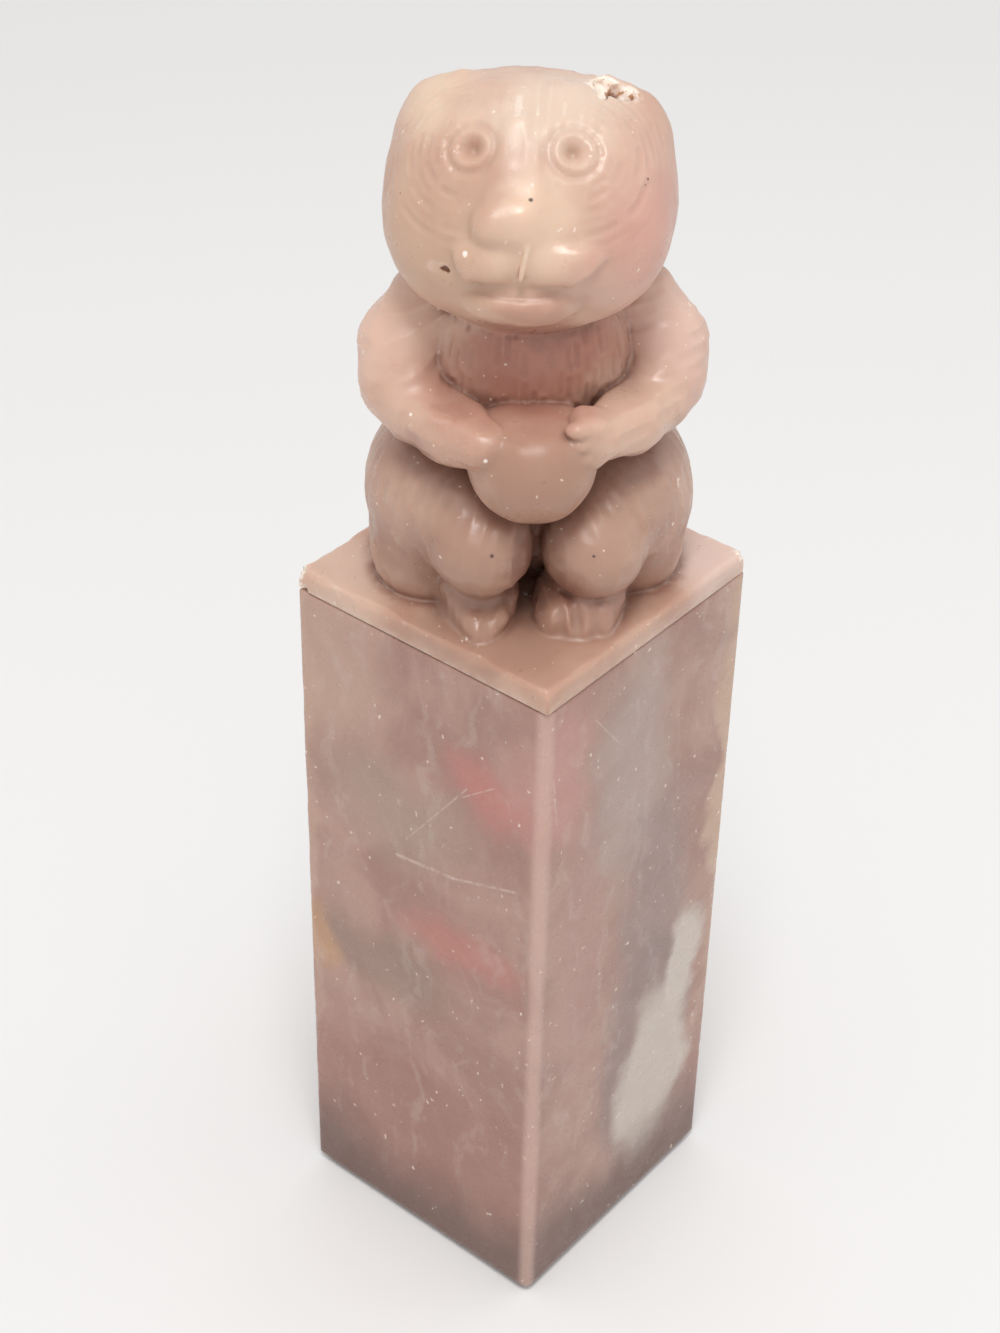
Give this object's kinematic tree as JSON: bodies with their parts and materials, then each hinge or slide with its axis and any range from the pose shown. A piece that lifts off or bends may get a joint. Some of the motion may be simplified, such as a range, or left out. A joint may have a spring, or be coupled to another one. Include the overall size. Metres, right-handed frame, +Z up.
{
  "type": "seal stamp",
  "caption": "Square soapstone name seal with a relief seal face below and a cap stone carved as a seated bear-like animal holding a rounded pot.",
  "frame": {"origin": "centre of the seal face, in the plane of its raised frame", "axes": "+Z up the shaft; X and Y square to the shaft's sides; the animal looks out over the (-X, -Y) corner"},
  "size_m": [0.025, 0.025, 0.1066],
  "materials": {
    "shaft_stone": "waxed and rubbed soapstone, clouded pink, grey and off-white, pale where its edges are worn",
    "cap_stone": "waxed soapstone, tan to pink, with knife strokes, small white chips and dirt in the carved hollows",
    "glue": "old adhesive, dull brown"
  },
  "bodies": {
    "root": {"seal_block": "shaft_stone", "glue_bed": "glue", "carved_top": "cap_stone"}
  },
  "joints": []
}
